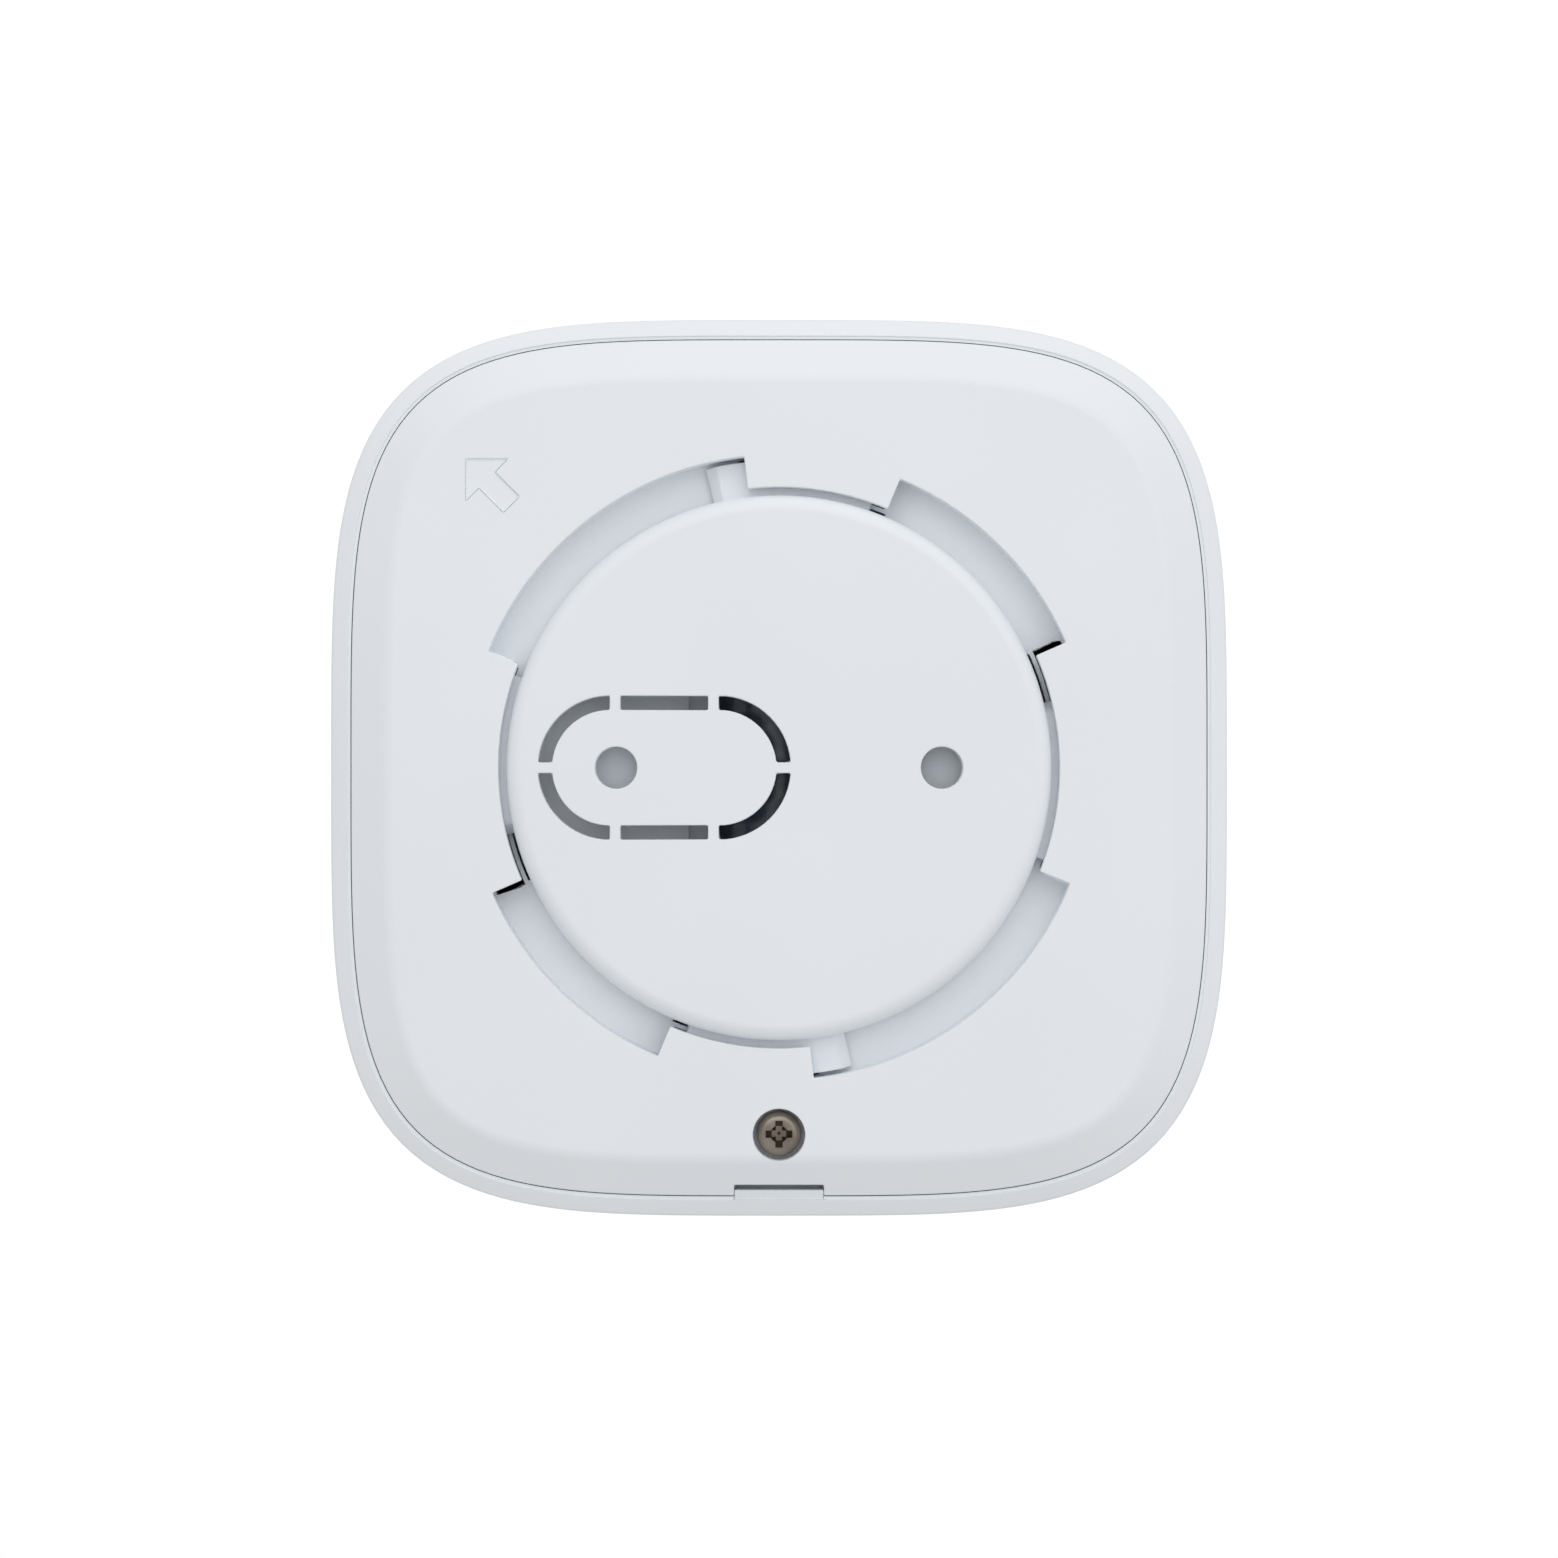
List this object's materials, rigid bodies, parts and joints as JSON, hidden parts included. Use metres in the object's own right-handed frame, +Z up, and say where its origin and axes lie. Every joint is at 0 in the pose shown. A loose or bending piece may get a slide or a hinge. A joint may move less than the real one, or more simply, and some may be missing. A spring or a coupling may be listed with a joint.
{
  "type": "smoke detector",
  "caption": "White rounded-square ceiling smoke alarm with a twist-off bayonet bracket on its back, a cell bay under it, and a front cover with smoke inlets, sounder slots and test button.",
  "frame": {"origin": "centre of the mounting bracket's face that lies on the ceiling, on the bracket's turning axis", "axes": "+Z up out of the alarm's back into the ceiling, the alarm hangs below Z = 0; -Y towards the housing screw and pry slot; +X to the right with the back seen from above and the screw at the bottom"},
  "size_m": [0.0882, 0.0882, 0.038],
  "materials": {
    "housing_plastic": "fine matte moulded ABS, white",
    "cover_plastic": "fine matte moulded ABS, white",
    "button_plastic": "satin moulded ABS, white",
    "nickel_screw": "nickel-plated steel, pan head with a cross recess",
    "zinc_screw": "bright zinc-plated steel",
    "cell_steel": "drawn nickel-plated steel can",
    "cell_sleeve": "shrunk plastic sleeve, dark blue-grey, no print",
    "contact_nickel": "nickel-plated spring strip",
    "circuit_board": "glass-epoxy board with green solder mask",
    "chip_package": "moulded epoxy chip package",
    "ferrite": "sintered ferrite core",
    "capacitor_can": "aluminium can",
    "led_resin": "clear cast epoxy",
    "receiver_resin": "dark daylight-filter epoxy",
    "black_plastic": "matte black moulded plastic",
    "light_pipe_plastic": "clear moulded acrylic",
    "screen_steel": "etched stainless insect screen",
    "sounder_plastic": "black moulded plastic",
    "brass_disc": "rolled brass diaphragm",
    "piezo_ceramic": "fired ceramic with a thin silvered face",
    "lead_red": "red lead insulation",
    "lead_black": "black lead insulation"
  },
  "bodies": {
    "alarm_body": {"rear_housing": "housing_plastic", "front_cover": "cover_plastic", "housing_screw": "nickel_screw", "board_screw_1": "zinc_screw", "board_screw_2": "zinc_screw", "board_screw_3": "zinc_screw", "battery_cell": "cell_steel", "battery_sleeve": "cell_sleeve", "battery_contact_positive": "contact_nickel", "battery_contact_negative": "contact_nickel", "circuit_board": "circuit_board", "microcontroller": "chip_package", "boost_inductor": "ferrite", "reservoir_capacitor": "capacitor_can", "status_led": "led_resin", "tact_switch_body": "black_plastic", "light_pipe": "light_pipe_plastic", "chamber_base": "black_plastic", "chamber_labyrinth": "black_plastic", "insect_screen": "screen_steel", "infrared_emitter": "led_resin", "light_receiver": "receiver_resin", "sounder_housing": "sounder_plastic", "sounder_disc": "brass_disc", "sounder_ceramic": "piezo_ceramic", "sounder_retainer": "sounder_plastic", "sounder_lead_red": "lead_red", "sounder_lead_black": "lead_black"},
    "ceiling_bracket": {"mounting_bracket": "housing_plastic"},
    "button": {"test_button": "button_plastic"},
    "plunger": {"tact_switch_plunger": "black_plastic"}
  },
  "joints": [
    {"name": "bracket_twist", "type": "hinge", "parent": "alarm_body", "child": "ceiling_bracket", "pos_m": [0, 0, -0.003], "axis": [0, 0, 1], "range_deg": [0, 48]},
    {"name": "test_button_press", "type": "slide", "parent": "alarm_body", "child": "button", "axis": [0, 0, 1], "range_m": [0, 0.0006], "stiffness_N_per_m": 2500, "springref_m": -0.0004},
    {"name": "switch_plunger_press", "type": "slide", "parent": "alarm_body", "child": "plunger", "axis": [0, 0, 1], "range_m": [0, 0.0006]}
  ],
  "couplings": [
    {"joint": "switch_plunger_press", "follows": "test_button_press", "ratio": 1}
  ]
}
